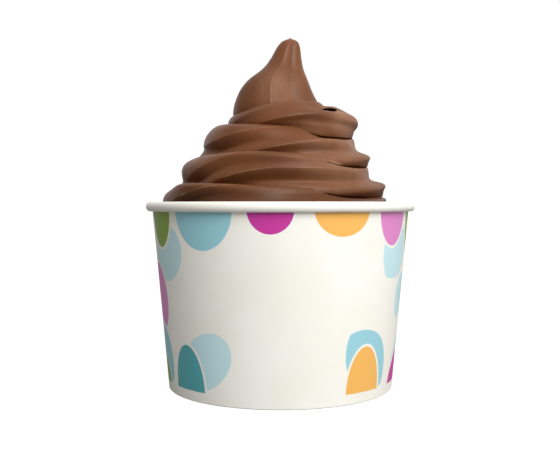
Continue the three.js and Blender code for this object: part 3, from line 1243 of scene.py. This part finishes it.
@dataclass
class Rope:
    """The ridged rope that the nozzle lays in a coil, climbing clockwise seen from above.

    Lengths are in millimetres. A place on the rope is given in half turns: an even number is on the +X
    side, an odd one on the -X side, and the coil passes the front halfway on from an even one. Angles
    round the section are in degrees, from its outer side upwards.
    """

    section: StarSection = StarSection()
    steps: int = 72  # sections for each half turn

    # The coil: the places it runs between, and the rope's middle, which rises by each half turn, is higher
    # on the +X side by the tilt, and sinks by the sag. Its radii are given half turn by half turn.
    first: float = -2.0
    last: float = 7.9
    start_height: float = 59.5
    rise: float = 5.27
    tilt: float = 0.5
    coil_radii: tuple[float, ...] = (33, 33, 32, 32.8, 27.1, 25.9, 21.9, 18.2, 17, 14, 8)
    coil_ease: float = 0.3
    sag: Curve = Curve(
        (
            (4.6, 0), (4.95, -0.65), (5.1, -0.65), (5.5, 0), (6.2, 0), (6.45, -0.4), (6.63, 0.95), (6.8, 2),
            (7, 2.4), (7.9, 8),
        ),
        0.1,
    )

    # The rope's thickness: its radius out to a ridge, how much more that is at +X than in the middle, the
    # share of it that is left once the rope thins, and its height as a share of its width.
    radius: float = 9.8
    radius_swing: float = 0.7
    thinning: Curve = Curve(((6.2, 1), (6.42, 0.83), (6.55, 0.79), (6.8, 0.55)), 0.1)
    squash: float = 0.86

    # How far the section has turned about the rope, and how far the outer ridge drops below its place.
    section_turn: Curve = Curve(
        (
            (-2, 300), (0, 60), (0.5, 8), (0.66, 9), (0.84, -34), (2.03, -173), (2.3, -203), (2.57, -214),
            (2.7, -240), (2.9, -304), (3.03, -313), (4.02, -416), (4.2, -435), (4.5, -471), (4.7, -504),
            (4.83, -531), (4.94, -538), (5.03, -542), (6.21, -689), (6.42, -709), (6.63, -731), (6.8, -756),
            (8, -900),
        ),
        0.07,
    )
    outer_drop: Curve = Curve(
        (
            (0.6, 0), (0.75, 6), (0.88, 9), (1, 11), (1.9, 0), (2.5, 0), (2.62, 7), (2.8, 10), (2.9, 9),
            (3, 6), (3.8, 0), (6.6, 0), (6.7, 4), (6.76, 11), (6.84, 25), (7, 25), (7.5, 0),
        ),
        0.05,
    )

    # The grooves: their full depth as a share of the radius, where they are deepest, how lobed they are at
    # -X, the share that is left of the one under the outer ridge, and how much of that is lost at -X.
    groove_depth: float = 0.3
    valley: Curve = Curve(((0.3, 0.75), (0.75, 0.7), (1, 0.5), (1.3, 0.45)), 0.1)
    lobed: float = 0.6
    under_share: Curve = Curve(
        (
            (0.5, 0.85), (0.9, 0.75), (2.2, 1), (2.35, 0.4), (2.5, 0.2), (2.63, 0.25), (2.75, 0.6),
            (2.85, 0.85), (3, 1), (4.2, 1), (4.35, 0.5), (4.5, 0.5), (4.7, 0.9), (4.85, 1), (6.2, 1),
            (6.38, 0.2), (6.75, 0.2), (6.95, 1),
        ),
        0.05,
    )
    under_loss: float = 0.85
    blunt_crest: float = 0.18  # the ridges' rounding at +X
    fine_crest: float = 0.05  # and at -X
    lobed_side: tuple[float, float] = (0.5, 0.9)  # shares of the way to -X between which the lobes set in
    under_side: tuple[float, float] = (0.9, 1.0)  # the same for the loss under the outer ridge
    outer_side: tuple[float, float] = (0.2, 0.6)  # the same for the groove over it, which closes

    # Where grooves are filled: on top at -X and along the top coil's rim, at the foot at +X, and outside
    # where the rope is full. The pairs are sines or cosines between which the filling sets in.
    foot_filling: float = 0.75
    top_filled: tuple[float, float] = (0.3, 0.9)
    foot_filled: tuple[float, float] = (-0.1, 0.3)
    outside_filled: tuple[float, float] = (0.0, 0.3)
    fullness: Curve = Curve(((5.7, 0), (5.9, 1), (6.15, 1), (6.42, 0)), 0.06)

    # Changes to the outline, as shares of the radius: a crown at -X, a slope on the shoulder at +X, and
    # where the rope is full, a swell outside with a tuck below it.
    crown: Bulge = Bulge(Curve(((0.2, 0), (0.6, 0.14), (3.4, 0.13), (4.4, 0)), 0.05), 28.0, 25.0)
    slope: Bulge = Bulge(Curve(((0.4, 0.1), (1.6, 0.26), (2.4, 0.26), (3.6, 0.17)), 0.1), 50.0, 24.0)
    swell: float = 0.1
    swell_angle: float = 19.0
    swell_spread: float = 18.0
    tuck: float = 0.1
    tuck_angles: tuple[float, float] = (-12.0, 3.0)

    # A push outwards in millimetres, or inwards where it is negative, which also lifts, and a flare of the
    # foot at -X.
    lean: Bulge = Bulge(
        Curve(
            (
                (0.3, 0), (0.5, 1.5), (0.65, 4.5), (0.78, 5), (0.85, 3.2), (0.9, 1.2), (0.96, 0), (2.2, 0),
                (2.3, 1.5), (2.4, 3.5), (2.5, 5), (2.6, 5), (2.68, 3.5), (2.775, 1.8), (2.86, 0.8), (2.95, 0),
                (4.05, 0), (4.15, -2.5), (4.32, -2.5), (4.45, 0), (4.7, 1.5), (4.85, 1), (5, 0),
            ),
            0.06,
        ),
        68.0,
        28.0,
    )
    lean_lift: float = 0.3
    flare: float = 5.0
    flare_angles: tuple[float, float] = (6.0, 45.0)
    flare_side: tuple[float, float] = (0.75, 1.0)
    flare_places: tuple[float, float] = (0.2, 0.6)

    # The top coil's rim: where it stands up, by how much, and the dip beside it.
    rim: Curve = Curve(((5.6, 0), (5.8, 1), (6.02, 1), (6.1, 0)), 0.04)
    rim_lift: float = 0.035
    rim_angle: float = 58.0
    rim_spread: float = 26.0
    dip_place: float = 6.2
    dip_reach: float = 0.16
    dip_depth: float = 0.32
    least_radius: float = 0.4  # no point comes nearer to the swirl's axis

    def __post_init__(self) -> None:
        """Sets the coil's radius along the rope."""
        rows = tuple((self.first + i, radius) for i, radius in enumerate(self.coil_radii))
        self.coil = Curve(rows, self.coil_ease)

    def height(self, place: float) -> float:
        """The height of the rope's middle at a place on it."""
        climb = self.start_height + self.rise * place + self.tilt * math.cos(math.pi * place)
        return climb - self.sag.at(place)

    def points(self, place: float) -> list[Vector]:
        """One section of the rope, upright on the swirl's axis.

        Args:
            place: Where on the rope, in half turns.

        Returns:
            Its points.
        """
        side = (1.0 - math.cos(math.pi * place)) / 2.0
        full, rim = self.fullness.at(place), self.rim.at(place)

        def depth_at(angle: float) -> float:
            """Works out the grooves' depth where the rope is pressed, or pulled smooth, and where it isn't.

            Args:
                angle: An angle of the section, in radians.

            Returns:
                The depth, as a share of the radius.
            """
            filled_top = max(side, rim) * smoothstep(math.sin(angle), *self.top_filled)
            filled_foot = self.foot_filling * (1 - side) * smoothstep(-math.sin(angle), *self.foot_filled)
            filled_out = full * smoothstep(math.cos(angle), *self.outside_filled)
            return self.groove_depth * (1 - filled_top) * (1 - filled_foot) * (1 - filled_out)

        angles = self.section.ridge_angles(self.section_turn.at(place))
        angles[self.outer_ridge(place)] -= math.radians(self.outer_drop.at(place))
        bearing = -math.pi * place
        thick = (self.radius + self.radius_swing * math.cos(bearing)) * self.thinning.at(place)
        middle, level = self.coil.at(place), self.height(place)
        crown = side**2 * self.crown.strength.at(place)
        slope = self.slope.strength.at(place) * (1 - side) ** 2 * (1 - full)
        lean = self.lean.strength.at(place)
        spread = self.flare * smoothstep(side, *self.flare_side) * smoothstep(place, *self.flare_places)
        lift = self.rim_lift * rim - self.dip_depth * hump(place - self.dip_place, self.dip_reach)
        points = []
        for angle, share in self.section.outline(angles, self.grooves(place, side), depth_at):
            around = math.degrees(angle % TURN)
            upwards = math.degrees(math.asin(math.sin(angle)))
            outwards = math.sqrt(max(math.cos(angle), 0.0))
            swell = self.swell * hump(upwards - self.swell_angle, self.swell_spread)
            swell -= self.tuck * smoothstep(-upwards, *self.tuck_angles)
            change = full * swell + crown * self.crown.bell(upwards) - slope * self.slope.bell(upwards)
            share *= 1 + change * outwards
            share *= 1 + lift * hump(around - self.rim_angle, self.rim_spread)
            pushed = lean * self.lean.bell(around)
            flare = spread * smoothstep(-upwards, *self.flare_angles)
            radius = middle + thick * share * math.cos(angle) + flare * outwards + pushed
            radius = max(radius, self.least_radius)
            z = level + self.squash * thick * share * math.sin(angle) + self.lean_lift * pushed
            points.append(Vector((radius * math.cos(bearing), radius * math.sin(bearing), z)))
        return points

    def grooves(self, place: float, side: float) -> list[Groove]:
        """The rope's grooves at a place on it.

        Args:
            place: Where on the rope, in half turns.
            side: How far it is to the -X side, from 0 to 1.

        Returns:
            The groove that follows each ridge of the section.
        """
        crest = self.blunt_crest + (self.fine_crest - self.blunt_crest) * side
        even = Groove(self.valley.at(place), self.lobed * smoothstep(side, *self.lobed_side), crest)
        row = [even] * self.section.ridges
        outer = self.outer_ridge(place)
        under = self.under_share.at(place) * (1.0 - self.under_loss * smoothstep(side, *self.under_side))
        row[outer] = replace(even, share=1.0 - smoothstep(side, *self.outer_side))
        row[outer - 1] = replace(even, share=under)
        return row

    def outer_ridge(self, place: float) -> int:
        """Which ridge runs from the top of the coil at the front down its outer side at -X."""
        return (1 + 4 * int(place // 2)) % self.section.ridges

    def lengths(self) -> list[bpy.types.Object]:
        """The rope in half-turn lengths, because each whole turn of it sinks into the one below.

        Returns:
            The lengths, from the foot up.
        """
        shares = self.section.shares()
        total = round((self.last - self.first) * self.steps)
        places = [self.first + step / self.steps for step in range(total + 1)]
        along, rings = 0.0, []
        for place in places:
            along += math.pi * self.coil.at(place) / self.steps
            rings.append(Ring(self.points(place), along))
        return [
            sweep(f"rope_{start}", rings[start : start + self.steps + 1], shares)
            for start in range(0, total, self.steps)
        ]


@dataclass(frozen=True)
class Peak:
    """The peak that the rope is drawn up into, with upright ridges. Lengths are in millimetres.

    Args:
        section: The section that its ridges come from.
        rows: A height, the half width there and how far its middle lies towards +X, row by row.
        ease: How far the corners of those rows are rounded off.
        tip_ease: The most of that near the tip, as a share of the height that is left.
        ridges: The bearings of its ridges, in degrees from +X.
        depth: How deep its grooves are, as a share of the half width.
        grooves: The groove that follows each ridge.
        bead: How high a thin bead stands on the first ridge.
        bead_reach: The bead's half width.
        bead_foot: The heights between which the bead sets in.
        bead_top: The heights between which it fades, the upper one first.
        coarse: The height of its stretches.
        fine: That of the stretches near the tip.
        tip: How far down from the top those reach.
    """

    section: StarSection = StarSection()
    rows: tuple[Row, ...] = (
        (90, 14, 0), (96, 16.8, -0.6), (99.5, 16.05, -1.15), (102.6, 14.5, -1.7), (106.2, 12.85, -1.75),
        (109.8, 10.75, -0.95), (113.4, 7.35, 0.9), (117, 5.65, 1.95), (121, 4.35, 2.8), (123.1, 3.5, 3.3),
        (123.9, 2.2, 3.5), (124.3, 0.8, 3.5), (124.7, 0.3, 3.5),
    )
    ease: float = 1.6
    tip_ease: float = 0.6
    ridges: tuple[float, ...] = (-98, -8, 40, 90, 142, 202)
    depth: float = 0.2
    grooves: tuple[Groove, ...] = (
        Groove(place=0.4, lobed=1.0, rise=1.0, fall=2.0),
        Groove(lobed=1.0, crest=0.3, fall=1.5, share=0.5),
        Groove(lobed=1.0, crest=0.1, rise=1.2, fall=1.2, share=0.8),
        Groove(lobed=1.0, crest=0.1, rise=1.2, fall=1.2, share=0.8),
        Groove(lobed=1.0, crest=0.3, fall=2.0, share=0.5),
        Groove(place=0.85, lobed=1.0, rise=2.2, share=0.1),
    )
    bead: float = 0.45
    bead_reach: float = 0.55
    bead_foot: tuple[float, float] = (92.0, 96.0)
    bead_top: tuple[float, float] = (108.0, 104.5)
    coarse: float = 0.7
    fine: float = 0.2
    tip: float = 2.5

    def heights(self) -> list[float]:
        """The heights of its sections.

        Returns:
            The heights, from the foot up, closer together near the tip.
        """
        low, high = self.rows[0][0], self.rows[-1][0]
        heights = [low + self.coarse * i for i in range(int((high - self.tip - low) / self.coarse))]
        last = heights[-1]
        return heights + [last + self.fine * i for i in range(1, int((high - last) / self.fine))] + [high]

    def solid(self) -> bpy.types.Object:
        """Builds the peak.

        Returns:
            The solid.
        """
        angles = [math.radians(angle) for angle in self.ridges]
        rings = []
        for z in self.heights():
            reach = min(self.ease, self.tip_ease * (self.rows[-1][0] - z))
            half_width = eased(self.rows, z, reach)
            middle = eased(self.rows, z, reach, 2)
            fade = smoothstep(-z, *(-height for height in self.bead_top))
            bead = self.bead * smoothstep(z, *self.bead_foot) * fade
            points = []
            for angle, share in self.section.outline(angles, self.grooves, lambda _: self.depth):
                off_bead = (angle - angles[0]) * half_width
                radius = half_width * share + bead * hump(off_bead, self.bead_reach)
                points.append(Vector((middle + radius * math.cos(angle), radius * math.sin(angle), z)))
            rings.append(Ring(points, z))
        return sweep("peak", rings, self.section.shares())


@dataclass(frozen=True)
class Undercuts:
    """What is cut out of the swirl: a pocket beside the peak, and thin gaps under coils that overhang.

    Args:
        pocket_middle: The middle of the pocket, in millimetres.
        pocket_size: Its half sizes, in millimetres.
        pocket_lean: How far it is turned about X and about Y, in degrees.
        paths: For each gap, rows of a place on the rope, in half turns, and the radius and height there.
        reach: A gap's half width, in millimetres.
        half_height: Its half height, in millimetres.
        end_share: Its size at its ends, as a share of that in its middle.
        taper: The power by which it grows from its ends; under 1 grows early.
        path_ease: How far the corners of its path are rounded off, in half turns.
        stretches: How many stretches it has.
        corners: How many corners its section has.
    """

    pocket_middle: Point = (16.9, -9.6, 97.87)
    pocket_size: Point = (3.5, 8.4, 0.85)
    pocket_lean: tuple[float, float] = (7.0, -3.0)
    paths: tuple[tuple[Row, ...], ...] = (
        (
            (6.0, 26.3, 89.3), (6.05, 25.6, 88.6), (6.1, 24.9, 88.05), (6.2, 24, 87.85), (6.28, 23.3, 87.85),
            (6.32, 23.2, 88.4), (6.37, 23.3, 89.4),
        ),
        ((4.03, 31.6, 78.3), (4.12, 30.7, 77.95), (4.25, 30.8, 77.9), (4.3, 31.4, 77.9), (4.36, 33.2, 79.2)),
        ((2.14, 36.3, 67.5), (2.25, 36.2, 67.3), (2.31, 36.3, 67.5), (2.36, 36.8, 68.6), (2.39, 37, 69.3)),
    )
    reach: float = 2.4
    half_height: float = 0.4
    end_share: float = 0.04
    taper: float = 0.6
    path_ease: float = 0.02
    stretches: int = 32
    corners: int = 12

    def pocket(self) -> bpy.types.Object:
        """Builds the solid that leaves the pocket.

        Returns:
            The solid.
        """
        bm = bmesh.new()
        bmesh.ops.create_icosphere(bm, subdivisions=5, radius=1.0)
        about_x, about_y = (math.radians(lean) for lean in self.pocket_lean)
        leant = Matrix.Rotation(about_x, 4, "X") @ Matrix.Rotation(about_y, 4, "Y")
        size = Matrix.Diagonal((*self.pocket_size, 1.0))
        bm.transform(Matrix.Scale(MM, 4) @ Matrix.Translation(self.pocket_middle) @ leant @ size)
        return as_object("pocket", bm)

    def gap(self, path: Sequence[Row]) -> bpy.types.Object:
        """Builds the solid that leaves a gap.

        Args:
            path: The gap's rows.

        Returns:
            The solid.
        """
        rings = []
        for step in range(self.stretches + 1):
            place = path[0][0] + (path[-1][0] - path[0][0]) * step / self.stretches
            grown = math.sin(math.pi * step / self.stretches) ** self.taper
            size = self.end_share + (1.0 - self.end_share) * grown
            radius, height = eased(path, place, self.path_ease), eased(path, place, self.path_ease, 2)
            points = []
            for corner in range(self.corners):
                angle = TURN * corner / self.corners
                out = radius + self.reach * size * math.cos(angle)
                z = height + self.half_height * size * math.sin(angle)
                points.append(Vector((out * math.cos(-math.pi * place), out * math.sin(-math.pi * place), z)))
            rings.append(Ring(points, radius * math.pi * place))
        return sweep("gap", rings, [corner / self.corners for corner in range(self.corners)])

    def solids(self) -> list[bpy.types.Object]:
        """Everything that is cut out."""
        return [self.pocket(), *(self.gap(path) for path in self.paths)]


@dataclass
class Swirl:
    """The frozen yogurt: what fills the tub, the coiled rope and the peak, as one skin. Millimetres."""

    rope: Rope = field(default_factory=Rope)
    peak: Peak = Peak()
    undercuts: Undercuts = Undercuts()
    shoulder: float = 53.0  # the height where the fill leaves the tub's wall
    shoulder_bevel: tuple[float, float] = (1.5, 2.0)  # inwards and downwards
    foot_bevel: float = 1.0
    heart_foot: tuple[float, float] = (34.0, 57.0)  # radius and height of the cone that the coils wrap
    heart_top: tuple[float, float] = (6.0, 96.0)
    sides: int = 120
    crease: float = 38.0
    least_edge: float = 0.01

    def fill(self, tub: Tub) -> bpy.types.Object:
        """Builds what fills the tub below the coils, and the heart of the swirl that they wrap.

        Args:
            tub: The tub that it fills.

        Returns:
            The solid.
        """
        foot, room = tub.fill_foot, tub.room_radius
        inwards, downwards = self.shoulder_bevel
        profile = [
            (0.0, foot),
            (room(foot) - self.foot_bevel, foot),
            (room(foot + self.foot_bevel), foot + self.foot_bevel),
            (room(self.shoulder - downwards), self.shoulder - downwards),
            (room(self.shoulder) - inwards, self.shoulder),
            self.heart_foot,
            self.heart_top,
            (0.0, self.heart_top[1]),
        ]
        return turned("frozen_yogurt_swirl", profile, self.sides)

    def build(self, tub: Tub, material: bpy.types.Material) -> None:
        """Builds and dresses the whole swirl.

        Args:
            tub: The tub that it fills.
            material: Its finish.
        """
        body = self.fill(tub)
        combine(body, [self.peak.solid(), *self.rope.lengths()], Joining.ADD)
        combine(body, self.undercuts.solids(), Joining.CUT)
        bm = bmesh.new()
        bm.from_mesh(body.data)
        keep_outer_skin(bm)
        bmesh.ops.dissolve_degenerate(bm, edges=bm.edges, dist=self.least_edge * MM)
        bm.to_mesh(body.data)
        bm.free()
        body.data.materials.clear()
        body.data.materials.append(material)
        shade(body, self.crease)
        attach(body, "root")
        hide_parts("frozen_yogurt")
        LOG.info("%s: %d faces", body.name, len(body.data.polygons))


# ---------------------------------------------------------------- the studio


@dataclass
class Studio:
    """A pale floor, soft light and the camera.

    Args:
        eye: Where the camera is. This and the other lengths are in metres.
        pitch: How far it looks down, in radians.
        focal_pixels: Its focal length, in pixels of the picture.
        key_place: Where the key light is.
        key_size: How wide it is.
        key_power: Its power, in watts.
        aim: Where it points.
        shaded_wall: The light that comes from the -X side.
        lit_wall: The light that comes from the +X side.
        side_fade: Between which parts of the way across the one turns into the other.
        ceiling: The light that comes from above.
        ceiling_fade: Between which heights of the view it sets in.
        back_fade: The same for the white light that comes from behind.
        white: The colour of that, and of all that the camera sees round the object.
        floor_white: The floor's colour.
        floor_glow: How brightly it shines to the camera, for an even pale ground.
    """

    eye: Point = (-0.00015, -0.300, 0.065)
    pitch: float = 0.0365
    focal_pixels: float = 829.0
    key_place: Point = (0.235, -0.50, 0.48)
    key_size: float = 0.45
    key_power: float = 4.6
    aim: Point = (0.0, 0.0, 0.07)
    shaded_wall: Colour = (0.15, 0.14, 0.11, 1.0)
    lit_wall: Colour = (0.88, 0.88, 0.82, 1.0)
    side_fade: tuple[float, float] = (-0.7, 0.7)
    ceiling: Colour = (0.65, 0.65, 0.62, 1.0)
    ceiling_fade: tuple[float, float] = (0.2, 0.9)
    back_fade: tuple[float, float] = (0.25, 0.7)
    white: Colour = (1.0, 1.0, 1.0, 1.0)
    floor_white: Colour = (0.25, 0.25, 0.25, 1.0)
    floor_glow: float = 0.85

    def camera(self) -> None:
        """Makes the camera."""
        data = bpy.data.cameras.new("camera")
        data.sensor_width = SENSOR_WIDTH
        data.lens = self.focal_pixels * SENSOR_WIDTH / IMAGE_WIDTH
        data.clip_start = 0.01
        eye = bpy.data.objects.new("camera", data)
        eye.location = self.eye
        eye.rotation_euler = (math.pi / 2.0 - self.pitch, 0.0, 0.0)
        bpy.context.scene.collection.objects.link(eye)
        bpy.context.scene.camera = eye

    def light(self) -> None:
        """Makes the key light and the white surroundings."""
        data = bpy.data.lights.new("key", "AREA")
        data.size = self.key_size
        data.energy = self.key_power
        lamp = bpy.data.objects.new("key", data)
        lamp.location = self.key_place
        towards = Vector(self.aim) - Vector(self.key_place)
        lamp.rotation_euler = towards.to_track_quat("-Z", "Y").to_euler()
        bpy.context.scene.collection.objects.link(lamp)
        world = bpy.data.worlds.new("surroundings")
        world.use_nodes = True
        graph = Graph(world.node_tree)
        view = graph.put("SeparateXYZ", {0: graph.put("TexCoord").outputs["Generated"]}).outputs
        sides = graph.mix(graph.ramp(view["X"], *self.side_fade), self.shaded_wall, self.lit_wall)
        above = graph.mix(graph.ramp(view["Z"], *self.ceiling_fade), sides, self.ceiling)
        around = graph.mix(graph.ramp(view["Y"], *self.back_fade), above, self.white)
        seen = graph.mix(graph.put("LightPath").outputs["Is Camera Ray"], around, self.white)
        graph.tree.links.new(seen, world.node_tree.nodes["Background"].inputs["Color"])
        bpy.context.scene.world = world
        bpy.context.scene.view_settings.view_transform = "Standard"

    def floor(self) -> None:
        """Makes the floor that the tub stands on."""
        bm = bmesh.new()
        bmesh.ops.create_grid(bm, x_segments=1, y_segments=1, size=3.0)
        ground = as_object("floor", bm)
        material, graph, shader = new_material("floor")
        seen = graph.put("LightPath").outputs["Is Camera Ray"]
        shader.inputs["Base Color"].default_value = self.floor_white
        shader.inputs["Roughness"].default_value = 0.9
        shader.inputs["Emission Color"].default_value = self.white
        glow = graph.math("MULTIPLY", seen, self.floor_glow)
        graph.tree.links.new(glow, shader.inputs["Emission Strength"])
        ground.data.materials.append(material)
        ground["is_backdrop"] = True


def write_sizes() -> None:
    """Works out the box of the solids and that of the dressed model, in metres."""
    boxes = {"cad": CAD_BOX, "visual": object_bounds()}
    plain = {name: [list(corner) for corner in box] for name, box in boxes.items()}


def main() -> None:
    """Builds the studio and every piece of the tub."""
    logging.basicConfig(level=logging.INFO, format="%(message)s")
    studio = Studio()
    studio.camera()
    studio.light()
    studio.floor()
    mottle, spot = mottle_group(), spot_group()
    tub = Tub()
    wall_foot = tub.foot_radius - 0.5 * tub.paper
    coated = PaperFinish("printed_board", rows=PRINT_ROWS, wall_foot=wall_foot, wall_slope=tub.slope)
    printed = coated.material(mottle, spot)
    plain = PaperFinish("plain_board", white=linear(233, 230, 221), roughness=0.65).material(mottle, spot)
    tub.build(printed, plain)
    Swirl().build(tub, ChocolateFinish().material(mottle))


if __name__ == "__main__":
    main()
    write_sizes()
